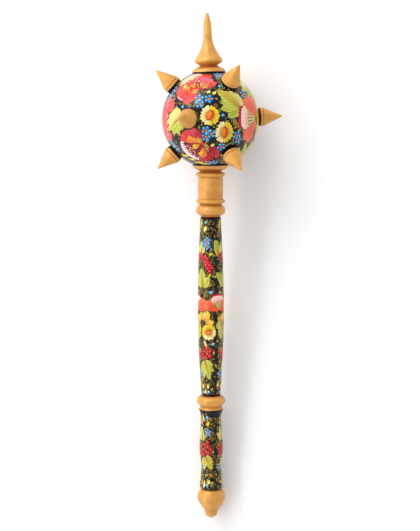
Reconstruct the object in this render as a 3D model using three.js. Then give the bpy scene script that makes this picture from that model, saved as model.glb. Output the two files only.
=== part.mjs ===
// A ceremonial mace of turned wood: a round head with nine spikes and a spire, on a long painted handle.
// Millimetres, +Z up. The mace lies on two spikes and the pommel, with its head towards +Y.
// Each piece is turned about the mace's axis, in a profile of (radius, place along the axis), where the
// place is measured from the centre of the head: up to the spire is positive, down the handle negative.
import * as THREE from "three";

// Driving dimensions
const headRadius = 60;
const seatGap = 0.3;             // room between a piece and the ball that it sits on
const joint = 0.3;               // room between two pieces of the handle
const seatRadius = headRadius + seatGap;

const spireTip = 130;
const spireLean = 1.75;          // degrees: the spire is set a little aslant on the head
const collarRadius = 20.6;       // foot of the spire's collar

const neckTopRadius = 22;
const neckFoot = -121.2;
const shaftFoot = -346.4;
const ringFoot = -363.8;
const gripFoot = -466.2;
const pommelRadius = 17.5;
const pommelBelly = -476.6;      // where the pommel is widest
const pommelTip = -504.9;

const spikeTip = 89.5;           // from the head's centre
const spikeRadius = 11.7;
const spikeFootRadius = 10.5;    // where a spike meets the ball
const spikePointRadius = 0.9;

// Three rows of three spikes. The azimuth turns about the mace's axis, the elevations rise towards the
// spire, and they differ by a degree or two because the holes are bored by hand.
const spikeSpacing = 120;
const spikeRows = [
  { name: "upper", firstAzimuth: 34.65, elevations: [46.5, 44, 41.9] },
  { name: "middle", firstAzimuth: -25.35, elevations: [0.9, 2.2, 1.5] },
  { name: "lower", firstAzimuth: 34.65, elevations: [-43.4, -43, -43] },
];
const restingSpikes = ["spike_middle_3", "spike_lower_2"];

// Facets
const ballFacets = 40;
const ballRings = 20;
const turnedFacets = 28;
const spikeFacets = 18;
const curveSteps = 3;

const gold = new THREE.MeshStandardMaterial({ color: 0xdca45c, roughness: 0.42, metalness: 0.15 });
const blackLacquer = new THREE.MeshStandardMaterial({ color: 0x2a2426, roughness: 0.25, metalness: 0 });

const mace = new THREE.Group();

function turned(name, profile, material, facets = turnedFacets) {
  const geometry = new THREE.LatheGeometry(profile.getPoints(curveSteps), facets);
  const mesh = new THREE.Mesh(geometry, material);
  mesh.name = name;
  return mesh;
}

// How far from the head's centre, along the axis, the edge of a piece of this radius meets the ball.
function seatEdge(radius) {
  return Math.sqrt(seatRadius ** 2 - radius ** 2);
}

// The hollow of a piece that sits on the ball, from the axis out to the given radius.
function addSeat(profile, radius) {
  profile.moveTo(0, seatRadius);
  profile.quadraticCurveTo(radius / 2, seatRadius, radius, seatEdge(radius));
}

function headBall() {
  const profile = new THREE.Path();
  profile.absarc(0, 0, headRadius, -Math.PI / 2, Math.PI / 2, false);
  const geometry = new THREE.LatheGeometry(profile.getPoints(ballRings / 2), ballFacets);
  const ball = new THREE.Mesh(geometry, blackLacquer);
  ball.name = "head_ball";
  return ball;
}

function topFinial() {
  const profile = new THREE.Path();
  addSeat(profile, collarRadius);
  profile.lineTo(collarRadius, 57.9);                 // collar's edge
  profile.quadraticCurveTo(19.8, 62, 13.3, 63.7);     // its rounded shoulder
  profile.lineTo(10.5, 65.4);                         // waist
  profile.lineTo(17.3, 69.9);                         // underside of the rim
  profile.lineTo(17.2, 71.7);
  profile.quadraticCurveTo(16.2, 74.6, 14.1, 77.2);
  profile.quadraticCurveTo(6.3, 89.4, 5.5, 99.5);     // hollow flank of the spire
  profile.lineTo(4.9, 116.2);                         // shoulder of the point
  profile.lineTo(3.4, 123.5);
  profile.lineTo(1.9, spireTip - 1.1);
  profile.lineTo(1, spireTip - 0.2);
  profile.lineTo(0, spireTip);
  const finial = turned("top_finial", profile, gold);
  finial.rotation.z = THREE.MathUtils.degToRad(spireLean);
  return finial;
}

function neckCollar() {
  const profile = new THREE.Path();
  profile.moveTo(0, neckFoot);
  profile.lineTo(11.8, neckFoot);
  profile.lineTo(12, -119.5);
  profile.quadraticCurveTo(18.4, -118.2, 18.4, -112.4);  // the large ring
  profile.quadraticCurveTo(18.4, -109.6, 13.2, -105.8);
  profile.quadraticCurveTo(18.1, -103.4, 18.2, -101.6);  // lower bead
  profile.quadraticCurveTo(17.6, -99.6, 15.2, -98.6);
  profile.lineTo(15.5, -97.4);                           // barrel
  profile.lineTo(15.7, -86);
  profile.lineTo(15.5, -74);
  profile.lineTo(14.7, -71.8);                           // groove
  profile.quadraticCurveTo(18, -70.8, 18.3, -68);        // upper bead
  profile.quadraticCurveTo(17.6, -66, 12.6, -65.2);
  profile.lineTo(15.4, -62.6);
  profile.quadraticCurveTo(20.6, -61.8, neckTopRadius, -58);
  profile.lineTo(neckTopRadius, -seatEdge(neckTopRadius));
  profile.quadraticCurveTo(neckTopRadius / 2, -seatRadius, 0, -seatRadius);
  return turned("neck_collar", profile, gold);
}

function handleShaft() {
  const top = neckFoot - joint;
  const profile = new THREE.Path();
  profile.moveTo(0, shaftFoot);
  profile.lineTo(11.9, shaftFoot);
  profile.quadraticCurveTo(12.9, -330, 14.1, -311);
  profile.quadraticCurveTo(16.5, -270, 16.4, -238);
  profile.quadraticCurveTo(16.3, -190, 14.6, -158);
  profile.quadraticCurveTo(13.4, -136, 12.7, top);
  profile.lineTo(0, top);
  return turned("handle_shaft", profile, blackLacquer);
}

function gripRing() {
  const top = shaftFoot - joint;
  const profile = new THREE.Path();
  profile.moveTo(0, ringFoot);
  profile.lineTo(15.4, ringFoot);
  profile.lineTo(12.8, -360.6);                          // waist
  profile.lineTo(16, -357.6);
  profile.quadraticCurveTo(18.2, -355.6, 17.9, -352.6);
  profile.quadraticCurveTo(17.5, -349, 12.6, top);
  profile.lineTo(0, top);
  return turned("grip_ring", profile, gold);
}

function grip() {
  const top = ringFoot - joint;
  const profile = new THREE.Path();
  profile.moveTo(0, gripFoot);
  profile.lineTo(12.2, gripFoot);
  profile.lineTo(14.5, -464.6);                          // rounded lower rim
  profile.lineTo(14.7, -462.6);
  profile.quadraticCurveTo(12.3, -448, 12.7, -437);
  profile.quadraticCurveTo(13.2, -427, 14.5, -419);
  profile.quadraticCurveTo(15.2, -412, 14.2, -400);
  profile.quadraticCurveTo(13.2, -388, 12.8, -378);
  profile.quadraticCurveTo(12.9, -370.5, 14.2, -367);
  profile.lineTo(15.5, top);                             // flared upper rim
  profile.lineTo(0, top);
  return turned("grip", profile, blackLacquer);
}

function pommel() {
  const top = gripFoot - joint;
  const profile = new THREE.Path();
  profile.moveTo(0, pommelTip);
  profile.lineTo(4.4, -502.6);                           // point below the knob
  profile.lineTo(6.8, -501.2);
  profile.quadraticCurveTo(8, -498.5, 8, -496.2);        // knob
  profile.lineTo(9.2, -492.6);
  profile.quadraticCurveTo(17, -485, pommelRadius, pommelBelly);
  profile.quadraticCurveTo(17, -470, 11.8, top);
  profile.lineTo(0, top);
  return turned("pommel", profile, gold);
}

// A spike stands on the ball's surface, so its profile starts in the seat and ends at the point.
function spike(name, azimuth, elevation) {
  const profile = new THREE.Path();
  addSeat(profile, spikeFootRadius);
  profile.lineTo(spikeRadius, 62.6);                     // foot
  profile.lineTo(11.4, 64.6);
  profile.lineTo(10.2, 65.1);                            // groove
  profile.lineTo(11.5, 65.9);                            // base of the cone
  profile.lineTo(spikePointRadius, spikeTip - spikePointRadius * 0.6);
  profile.lineTo(0, spikeTip);
  const mesh = turned(name, profile, gold, spikeFacets);
  const up = THREE.MathUtils.degToRad(elevation);
  const around = THREE.MathUtils.degToRad(azimuth);
  mesh.rotation.set(Math.PI / 2 - up, around, 0, "YXZ");
  return mesh;
}

function addSpikes() {
  for (const row of spikeRows) {
    row.elevations.forEach((elevation, index) => {
      const azimuth = row.firstAzimuth + index * spikeSpacing;
      mace.add(spike(`spike_${row.name}_${index + 1}`, azimuth, elevation));
    });
  }
}

// The centre of a spike's rounded point.
function pointCentre(name) {
  const mesh = mace.getObjectByName(name);
  return new THREE.Vector3(0, spikeTip - spikePointRadius, 0).applyEuler(mesh.rotation);
}

// The mace rests on three places: two spikes' points and the side of the pommel. The place on the
// pommel depends on which way is down, so the plane through the three is found by going round a few times.
function restingPlane() {
  const [first, second] = restingSpikes.map(pointCentre);
  const plane = new THREE.Plane(new THREE.Vector3(0, 0, 1));
  for (let round = 0; round < 10; round++) {
    const outward = plane.normal.clone().setY(0).setLength(pommelRadius - spikePointRadius);
    const side = new THREE.Vector3(0, pommelBelly, 0).sub(outward);
    plane.setFromCoplanarPoints(first, second, side);
    if (plane.normal.z < 0) plane.negate();
  }
  return plane;
}

// Turns the mace so that it lies on the ground with its head towards +Y, its box's bottom centre at the origin.
function lieDown() {
  const up = new THREE.Vector3(0, 0, 1);
  const level = new THREE.Quaternion().setFromUnitVectors(restingPlane().normal, up);
  const head = new THREE.Vector3(0, 1, 0).applyQuaternion(level);
  const turn = new THREE.Quaternion().setFromAxisAngle(up, Math.atan2(head.x, head.y));
  mace.quaternion.copy(turn.multiply(level));
  const box = new THREE.Box3().setFromObject(mace, true);
  const middle = box.getCenter(new THREE.Vector3());
  mace.position.set(-middle.x, -middle.y, -box.min.z);
}

mace.add(headBall(), topFinial(), neckCollar(), handleShaft(), gripRing(), grip(), pommel());
addSpikes();
lieDown();

export default mace;
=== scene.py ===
# Dresses the ceremonial mace: gold-painted turned wood, and a ball, a shaft and a grip lacquered black
# and painted with flowers in the folk manner, petal by petal.
# Lengths are millimetres in the mace's own frame: X to its right, Y along its axis towards the spire,
# Z out of its front, with the origin at the middle of the ball. Angles are degrees.
import math
import random
from functools import partial

import bpy
from mathutils import Matrix, Vector
from mathutils.geometry import delaunay_2d_cdt


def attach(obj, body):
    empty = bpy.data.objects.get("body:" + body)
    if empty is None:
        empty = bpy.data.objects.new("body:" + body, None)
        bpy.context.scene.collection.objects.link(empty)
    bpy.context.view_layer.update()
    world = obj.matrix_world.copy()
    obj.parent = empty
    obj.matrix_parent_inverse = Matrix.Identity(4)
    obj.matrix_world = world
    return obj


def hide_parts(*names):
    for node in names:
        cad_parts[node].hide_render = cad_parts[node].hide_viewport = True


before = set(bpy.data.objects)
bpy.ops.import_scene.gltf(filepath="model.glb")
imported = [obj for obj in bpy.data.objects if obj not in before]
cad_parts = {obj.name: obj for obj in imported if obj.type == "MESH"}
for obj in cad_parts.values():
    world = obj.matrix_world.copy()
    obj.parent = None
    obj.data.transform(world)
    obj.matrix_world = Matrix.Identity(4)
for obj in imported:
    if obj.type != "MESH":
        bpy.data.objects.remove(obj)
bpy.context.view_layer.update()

# Driving dimensions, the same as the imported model's
BALL_RADIUS = 60
SEAT_RADIUS = BALL_RADIUS + 0.3
SPIRE_LEAN = 1.75
FIRST_SPIKE_AZIMUTH = -25.35
COLLAR_RADIUS = 20.6
NECK_TOP_RADIUS = 22
SPIKE_FOOT_RADIUS = 10.5
JOINT = 0.3                      # room between two pieces of the handle
NECK_FOOT = -121.2
SHAFT_FOOT = -346.4
RING_FOOT = -363.8
GRIP_FOOT = -466.2

# The ball is painted between these latitudes. The collars cover the rest.
NORTH_EDGE = 69.4
SOUTH_EDGE = -68.0

# The net of cells that a painted sheet is cut into besides its marks
BALL_CELLS_AROUND = 132
BALL_CELLS_UP = 70
HANDLE_CELL = 2.2
SHAFT_PAPER_RADIUS = 15          # at which the shaft's and the grip's painting is unrolled
GRIP_PAPER_RADIUS = 14

# The handle's garlands, and the small sprays that fill the ground, in staggered rows on the handle
GARLAND_AZIMUTHS = (-35, 85, -155)
GARLAND_HALF_WIDTH = 12
SPRAY_COLUMNS = 5
COLUMNS_PER_HALF_WIDTH = 2.2
SPRAY_ROW_GAP = 4.2
SPRAY_SHIFT = 1                  # how far the rows lie to the left of a garland's middle
HANDLE_SPRAY_SIZE = 0.72
HANDLE_END_ROOM = 4
BALL_SPRAYS = 640
BALL_EDGE_ROOM = 3               # degrees

# Painted shade on the gold pieces: a place lies in one of the grooves where lines that fall from the
# outline's corners at this slope pass over it, and its gold is painted darker there as shade. The painted
# shade is full at this depth.
GROOVE_SHADE_SLOPE = 0.6
GROOVE_SHADE_DEPTH = 2.6

# Black paint covers the gold pieces' feet up to these distances from the ball's middle
COLLAR_BLACK_REACH = 61.4
SPIKE_BLACK_REACH = 63.2
BLACK_EDGE = 0.12                # half the width in which black turns to gold

# The studio's light, and the heights (as the sine of the elevation) between which wall turns to ceiling
WALL_LIGHT = 1.08
CEILING_LIGHT = 0.7
LEFT_SHARE = 0.2
CEILING_STARTS = 0.45
CEILING_FULL = 0.9

# Softboxes: place and aim in the mace's frame, width and height in metres, power in watts
KEY_SOFTBOX = ((-850, 1150, 720), (0, -60, 0), 1.4, 0.8, 17)
STRIP_SOFTBOX = ((-950, -500, 880), (0, -500, 0), 1.5, 0.18, 4)

CAMERA_PLACE = (-0.9, 13.7, 1864.5)
CAMERA_PITCH = 6
CAMERA_ROLL = -0.13
LENS = 101.7

random.seed(7)


# ---------------------------------------------------------------- the mace's frame

def node_points(node):
    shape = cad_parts[node]
    return [shape.matrix_world @ corner.co for corner in shape.data.vertices]


def middle_of(node):
    points = node_points(node)
    return sum(points, Vector()) / len(points)


def mace_frame():
    """The matrix from the mace's frame in millimetres to the world in metres."""
    centre = middle_of("head_ball")
    axis = (middle_of("neck_collar") - middle_of("pommel")).normalized()
    spike = middle_of("spike_middle_1") - centre
    level = (spike - axis * spike.dot(axis)).normalized()
    front = Matrix.Rotation(math.radians(-FIRST_SPIKE_AZIMUTH), 3, axis) @ level
    right = axis.cross(front)
    turn = Matrix((right, axis, front)).transposed().to_4x4()
    return Matrix.Translation(centre) @ turn @ Matrix.Scale(0.001, 4)


LYING = mace_frame()
BALL_CENTRE = LYING.translation.copy()


def spike_directions():
    """Each spike's direction from the ball's middle, in the mace's frame."""
    to_mace = LYING.inverted()
    names = sorted(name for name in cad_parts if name.startswith("spike_"))
    return {name: (to_mace @ middle_of(name)).normalized() for name in names}


# ---------------------------------------------------------------- colours

def colour(code):
    """A paint's colour from its code, as the shader counts it."""
    parts = [int(code[i:i + 2], 16) / 255 for i in (1, 3, 5)]
    return tuple(p / 12.92 if p <= 0.04045 else ((p + 0.055) / 1.055) ** 2.4 for p in parts)


def blend(first, second, share):
    return tuple(a + (b - a) * share for a, b in zip(first, second))


BLACK = colour("#0F0B0D")
BRIGHT_RED = colour("#F3301F")
SALMON = colour("#EE4A40")
CRIMSON = colour("#B00E1E")
DEEP_RED = colour("#7E0A1C")
ORANGE_RED = colour("#E2502A")
ORANGE = colour("#F08A28")
HOT_ORANGE = colour("#F26A08")
PINK = colour("#F6A0A4")
PINK_WHITE = colour("#F9DEE0")
ROSE = colour("#CC4A5C")
DUSKY_PINK = colour("#D2606A")
SOFT_PINK = colour("#F2C0B6")
CARMINE = colour("#C41C2C")
COOL_RED = colour("#DA3640")
MAROON = colour("#8C1A36")
CORAL = colour("#EE6A3E")
BURNT_ORANGE = colour("#E87A34")
BRIGHT_YELLOW = colour("#E6C420")
MUSTARD = colour("#C9AC36")
HONEY = colour("#E4B448")
RUST = colour("#D6501E")
PALE_YELLOW = colour("#DCD488")
CREAM = colour("#F6EAAE")
WARM_CREAM = colour("#E8CE84")
YELLOW = colour("#F0CC30")
GOLDEN = colour("#D8B41C")
OCHRE = colour("#B78A2C")
BROWN_GOLD = colour("#8E6620")
LIME = colour("#C6C84E")
LEAF_GREEN = colour("#A2A734")
OLIVE = colour("#888628")
DARK_OLIVE = colour("#5E5A1C")
OLIVE_GOLD = colour("#B4A234")
PALE_GREEN = colour("#C2BC62")
DARK_GREEN = colour("#4F6A22")
GOLD_LIGHT = colour("#DEA450")
GOLD_SHADOW = colour("#CD9140")
GOLD_DEEP = colour("#B06A26")
# painted shade: the darker gold that is painted into the grooves of the gold pieces
GOLD_GROOVE_SHADE = colour("#B4611C")
SKY = colour("#B4EEFA")
BLUE = colour("#2A9CD6")
DEEP_BLUE = colour("#0A5E96")


# ---------------------------------------------------------------- sheets to paint on

class Sheet:
    """A lacquered surface laid out flat. Brush marks pile up on it, and the pile is then cut into faces."""

    def __init__(self, half_width, bottom, top, cells_across, cells_up):
        self.half_width = half_width
        self.bottom = bottom
        self.top = top
        self.cells_across = cells_across
        self.cells_up = cells_up
        self.marks = []
        self.taken = []

    def mark(self, outline, shade):
        """Adds one mark, and its twin where it runs over the seam at the back."""
        # turned anticlockwise, because a clockwise outline floods the sheet when it is cut
        turns = zip(outline, outline[1:] + outline[:1])
        if sum(x0 * y1 - x1 * y0 for (x0, y0), (x1, y1) in turns) < 0:
            outline = outline[::-1]
        low = min(x for x, y in outline)
        high = max(x for x, y in outline)
        round_trip = 2 * self.half_width
        for shift in (-round_trip, 0, round_trip):
            if high + shift > -self.half_width and low + shift < self.half_width:
                moved = [(x + shift, y) for x, y in outline]
                self.marks.append((moved, lambda x, y, shift=shift: shade(x - shift, y)))

    def keep_clear(self, spot, reach):
        """Notes that the filling sprigs stay out of a round patch."""
        self.taken.append((spot(0, 0), reach * spot.size))

    def is_clear(self, place, room):
        for taken, reach in self.taken:
            across = abs(place[0] - taken[0])
            across = min(across, 2 * self.half_width - across)
            if math.hypot(across, place[1] - taken[1]) < reach + room:
                return False
        return True

    def cut(self):
        """The marks and a net of cells, cut into flat faces: places, faces, and each face's shade."""
        points = []
        loops = []
        for outline, shade in self.marks:
            loops.append(range(len(points), len(points) + len(outline)))
            points.extend(outline)
        first = len(points)
        across = self.cells_across
        up = self.cells_up
        for row in range(up + 1):
            y = self.bottom + (self.top - self.bottom) * row / up
            for column in range(across + 1):
                points.append((self.half_width * (2 * column / across - 1), y))
        south = [first + i for i in range(across + 1)]
        east = [first + row * (across + 1) + across for row in range(1, up + 1)]
        north = [first + up * (across + 1) + i for i in range(across - 1, -1, -1)]
        west = [first + row * (across + 1) for row in range(up - 1, 0, -1)]
        loops.append(south + east + north + west)
        border = len(loops) - 1
        result = delaunay_2d_cdt([Vector(p) for p in points], [], loops, 1, 1e-5, True)
        faces = []
        for face, owners in zip(result[2], result[5]):
            if border in owners:
                above = [owner for owner in owners if owner != border]
                faces.append((face, self.marks[max(above)][1] if above else None))
        return result[0], faces


def spot_on(sheet, x, y, turn=0, size=1, stretch=1):
    """A motif's own paper: a function from its millimetres to the sheet's."""
    cos = math.cos(math.radians(turn)) * size
    sin = math.sin(math.radians(turn)) * size

    def place(u, v):
        u = u * stretch
        return sheet.lay(x, y, u * cos - v * sin, u * sin + v * cos)

    place.size = size * sheet.spread(x, y)
    return place


class BallSheet(Sheet):
    """The ball, laid out like a sea chart so that round dots stay round."""

    def __init__(self):
        super().__init__(
            math.pi * BALL_RADIUS, chart_height(SOUTH_EDGE), chart_height(NORTH_EDGE),
            BALL_CELLS_AROUND, BALL_CELLS_UP,
        )

    def spread(self, longitude, latitude):
        return 1 / math.cos(math.radians(latitude))

    def lay(self, longitude, latitude, east, north):
        """The chart's place of a point so many millimetres east and north of a spot, over the ball."""
        lon = math.radians(longitude)
        lat = math.radians(latitude)
        out = Vector((math.sin(lon) * math.cos(lat), math.sin(lat), math.cos(lon) * math.cos(lat)))
        to_east = Vector((math.cos(lon), 0, -math.sin(lon)))
        way = to_east * east + out.cross(to_east) * north
        far = way.length / BALL_RADIUS
        point = out * math.cos(far) + way.normalized() * math.sin(far)
        edge = math.degrees(math.asin(max(-1, min(1, point.y))))
        new_lon = math.atan2(point.x, point.z)
        if new_lon - lon > math.pi:
            new_lon -= 2 * math.pi
        if new_lon - lon < -math.pi:
            new_lon += 2 * math.pi
        return new_lon * BALL_RADIUS, chart_height(max(-80, min(80, edge)))

    def surface(self, x, y):
        lon = x / BALL_RADIUS
        lat = 2 * math.atan(math.exp(y / BALL_RADIUS)) - math.pi / 2
        out = Vector((math.sin(lon) * math.cos(lat), math.sin(lat), math.cos(lon) * math.cos(lat)))
        return out * BALL_RADIUS, out

    def end_rings(self, top):
        """Rings of (radius, place) from the painted part's edge to the pole."""
        edge, side = (NORTH_EDGE, 1) if top else (SOUTH_EDGE, -1)
        steps = 4
        rings = []
        for step in range(1, steps + 1):
            angle = math.radians(edge + (side * 90 - edge) * step / steps)
            rings.append((BALL_RADIUS * math.cos(angle), BALL_RADIUS * math.sin(angle)))
        return rings


def chart_height(latitude):
    return BALL_RADIUS * math.log(math.tan(math.radians(45 + latitude / 2)))


class HandleSheet(Sheet):
    """A turned part of the handle, unrolled. Its height is the length along the outline from the foot."""

    def __init__(self, outline, paper_radius):
        self.rail = outline_points(outline, 14)[1:-1]
        self.runs = [0]
        for (r0, s0), (r1, s1) in zip(self.rail, self.rail[1:]):
            self.runs.append(self.runs[-1] + math.hypot(r1 - r0, s1 - s0))
        self.paper_radius = paper_radius
        super().__init__(
            math.pi * paper_radius, 0, self.runs[-1],
            round(2 * math.pi * paper_radius / HANDLE_CELL), round(self.runs[-1] / HANDLE_CELL),
        )

    def spread(self, azimuth, place):
        return 1

    def height_of(self, place):
        """The height on the paper of a place along the mace's axis."""
        for i in range(1, len(self.rail)):
            s0 = self.rail[i - 1][1]
            s1 = self.rail[i][1]
            if s0 <= place <= s1 and s1 > s0:
                return self.runs[i - 1] + (self.runs[i] - self.runs[i - 1]) * (place - s0) / (s1 - s0)
        return self.top if place > self.rail[-1][1] else 0

    def lay(self, azimuth, place, across, along):
        return math.radians(azimuth) * self.paper_radius + across, self.height_of(place) + along

    def surface(self, x, y):
        y = max(0, min(self.top, y))
        i = 1
        while i < len(self.runs) - 1 and self.runs[i] < y:
            i += 1
        share = (y - self.runs[i - 1]) / (self.runs[i] - self.runs[i - 1])
        radius, place = blend(self.rail[i - 1], self.rail[i], share)
        before = max(0, i - 2)
        after = min(len(self.rail) - 1, i + 1)
        rise = self.rail[after][1] - self.rail[before][1]
        widen = self.rail[after][0] - self.rail[before][0]
        azimuth = x / self.paper_radius
        around = Vector((math.sin(azimuth), 0, math.cos(azimuth)))
        normal = (around * rise - Vector((0, widen, 0))).normalized()
        return around * radius + Vector((0, place, 0)), normal

    def end_rings(self, top):
        return [(0, self.rail[-1 if top else 0][1])]


def ring_corners(corner_points, radius, place):
    """Corners like those of an edge, moved to another radius and place along the axis."""
    ring = []
    for point in corner_points:
        around = Vector((point.x, 0, point.z)).normalized()
        ring.append(around * radius + Vector((0, place, 0)))
    return ring


def painted_faces(flat, cut_faces, normals):
    """The painted part's faces, each with its corners' colours, places on the paper and normals."""
    faces = []
    for corners, shade in cut_faces:
        hues = [shade(*flat[i]) if shade else BLACK for i in corners]
        papers = [(flat[i].x, flat[i].y) for i in corners]
        faces.append((list(corners), hues, papers, [normals[i] for i in corners]))
    return faces


def end_faces(sheet, flat, points, top):
    """Black faces from an edge of the painted part to the axis. Their corners are added to the points."""
    faces = []
    level = sheet.top if top else sheet.bottom
    edge = sorted((flat[i].x, i) for i in range(len(flat)) if abs(flat[i].y - level) < 1e-4)
    ring = [i for x, i in edge]
    axis_way = Vector((0, 1 if top else -1, 0))
    for radius, place in sheet.end_rings(top):
        base = len(points)
        points.extend(ring_corners([points[i] for i in ring], radius, place))
        new_ring = list(range(base, len(points)))
        for i in range(len(ring) - 1):
            quad = [ring[i], new_ring[i], new_ring[i + 1], ring[i + 1]]
            if not top:
                quad.reverse()
            normals = [end_normal(points[j], axis_way, sheet) for j in quad]
            faces.append((quad, [BLACK] * 4, [(edge[i][0], level)] * 4, normals))
        ring = new_ring
    return faces


def painted_piece(name, sheet, material, stands_for):
    """Wraps a painted sheet round its surface, closes its ends and gives it its colours."""
    flat, cut_faces = sheet.cut()
    wrapped = [sheet.surface(place.x, place.y) for place in flat]
    points = [point for point, normal in wrapped]
    faces = painted_faces(flat, cut_faces, [normal for point, normal in wrapped])
    for top in (True, False):
        faces.extend(end_faces(sheet, flat, points, top))
    polygons, hues, papers, normals = zip(*faces)

    mesh = bpy.data.meshes.new(name)
    mesh.from_pydata(points, [], polygons)
    paint = mesh.color_attributes.new("painting", "FLOAT_COLOR", "CORNER")
    paint.data.foreach_set("color", [c for face in hues for hue in face for c in (*hue, 1)])
    paper = mesh.uv_layers.new(name="OFBake")
    width = 2 * sheet.half_width
    height = sheet.top - sheet.bottom
    unrolled = [c for face in papers for x, y in face for c in (x / width + 0.5, (y - sheet.bottom) / height)]
    paper.data.foreach_set("uv", unrolled)
    mesh.transform(LYING)
    turn = LYING.to_3x3().normalized()
    for polygon in mesh.polygons:
        polygon.use_smooth = True
    mesh.normals_split_custom_set([turn @ normal for face in normals for normal in face])
    piece = bpy.data.objects.new(name, mesh)
    bpy.context.collection.objects.link(piece)
    only(piece)
    bpy.ops.object.mode_set(mode="EDIT")
    bpy.ops.mesh.select_all(action="SELECT")
    bpy.ops.mesh.remove_doubles(threshold=1e-6)
    bpy.ops.object.mode_set(mode="OBJECT")
    finish_piece(piece, material, "painted_lacquer", stands_for)
    return piece


def end_normal(point, axis_way, sheet):
    return point.normalized() if isinstance(sheet, BallSheet) else axis_way


# ---------------------------------------------------------------- brush marks

def between(first, second):
    """A shade that runs from the first place's colour to the second's: each is (x, y, colour)."""
    x0, y0, near = first
    x1, y1, far = second
    dx = x1 - x0
    dy = y1 - y0
    reach = dx * dx + dy * dy

    def shade(x, y):
        share = ((x - x0) * dx + (y - y0) * dy) / reach
        return blend(near, far, max(0, min(1, share)))
    return shade


def petal(sheet, spot, start, end, width, colours, bend=0.0, fullness=1.4, steps=6):
    """One brush mark from start to end, swelling to its width. Bend pushes its middle to the left."""
    way = Vector(end) - Vector(start)
    side = Vector((-way.y, way.x)).normalized()
    control = (Vector(start) + Vector(end)) / 2 + side * bend * way.length
    left = []
    right = []
    for step in range(1, steps):
        t = (1 - math.cos(math.pi * step / steps)) / 2
        middle = Vector(start) * (1 - t) ** 2 + control * 2 * t * (1 - t) + Vector(end) * t * t
        tangent = (control - Vector(start)) * (1 - t) + (Vector(end) - control) * t
        out = Vector((-tangent.y, tangent.x)).normalized()
        half = width / 2 * math.sin(math.pi * t ** fullness) ** 0.7
        left.append(spot(*(middle + out * half)))
        right.append(spot(*(middle - out * half)))
    outline = [spot(*start), *right, spot(*end), *reversed(left)]
    shade = between((*spot(*start), colours[0]), (*spot(*end), colours[1]))
    sheet.mark(outline, shade)


def dot(sheet, spot, at, radius, colours, corners=9, squash=1.0, turn=0):
    """A round or oval dab, with the first colour in a light patch off its middle and the second round it."""
    outline = []
    for corner in range(corners):
        angle = 2 * math.pi * corner / corners
        u = radius * math.cos(angle)
        v = radius * math.sin(angle) * squash
        cos = math.cos(math.radians(turn))
        sin = math.sin(math.radians(turn))
        outline.append(spot(at[0] + u * cos - v * sin, at[1] + u * sin + v * cos))
    cx, cy = spot(*at)
    reach = radius * spot.size

    def shade(x, y):
        away = math.hypot(x - cx + reach * 0.3, y - cy - reach * 0.3) / reach
        return blend(colours[0], colours[1], min(1, away))
    sheet.mark(outline, shade)


def polar(angle, distance):
    return distance * math.cos(math.radians(angle)), distance * math.sin(math.radians(angle))


def along(first, second, share):
    return first[0] + (second[0] - first[0]) * share, first[1] + (second[1] - first[1]) * share


def band(sheet, spot, start_angle, end_angle, inner, outer, colours, scallops=0, depth=0.0):
    """Part of a ring about the spot's middle, with its outer edge in scallops if asked."""
    steps = max(8, scallops * 4)
    outline = []
    for step in range(steps + 1):
        share = step / steps
        wave = depth * abs(math.sin(math.pi * scallops * share)) if scallops else 0
        fade = min(1, 4 * share, 4 * (1 - share)) ** 0.5
        angle = start_angle + (end_angle - start_angle) * share
        outline.append(spot(*polar(angle, inner + (outer + wave - inner) * fade)))
    for step in range(7, 0, -1):
        angle = start_angle + (end_angle - start_angle) * step / 8
        outline.append(spot(*polar(angle, inner)))
    cx, cy = spot(0, 0)
    low = inner * spot.size
    high = (outer + depth) * spot.size

    def shade(x, y):
        share = (math.hypot(x - cx, y - cy) - low) / (high - low)
        return blend(colours[0], colours[1], max(0, min(1, share)))
    sheet.mark(outline, shade)


# ---------------------------------------------------------------- motifs

def forget_me_not(sheet, spot, turn=0, petals=5, radius=3.8, petal_radius=2.1):
    """Five round blue dabs about an orange eye."""
    sheet.keep_clear(spot, radius + petal_radius * 0.6)
    for index in range(petals):
        at = polar(turn + index * 360 / petals, radius)
        dot(sheet, spot, at, petal_radius, (BLUE, DEEP_BLUE))
        dot(sheet, spot, (at[0] - 0.3, at[1] + 0.35), petal_radius * 0.66, (SKY, BLUE), corners=7)
    dot(sheet, spot, (0, 0), radius * 0.42, (ORANGE, HOT_ORANGE), corners=8)


def blue_berry(sheet, spot, radius=2.3):
    sheet.keep_clear(spot, radius)
    dot(sheet, spot, (0, 0), radius, (BLUE, DEEP_BLUE))
    dot(sheet, spot, (-0.3, 0.4), radius * 0.66, (SKY, BLUE), corners=7)


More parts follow.
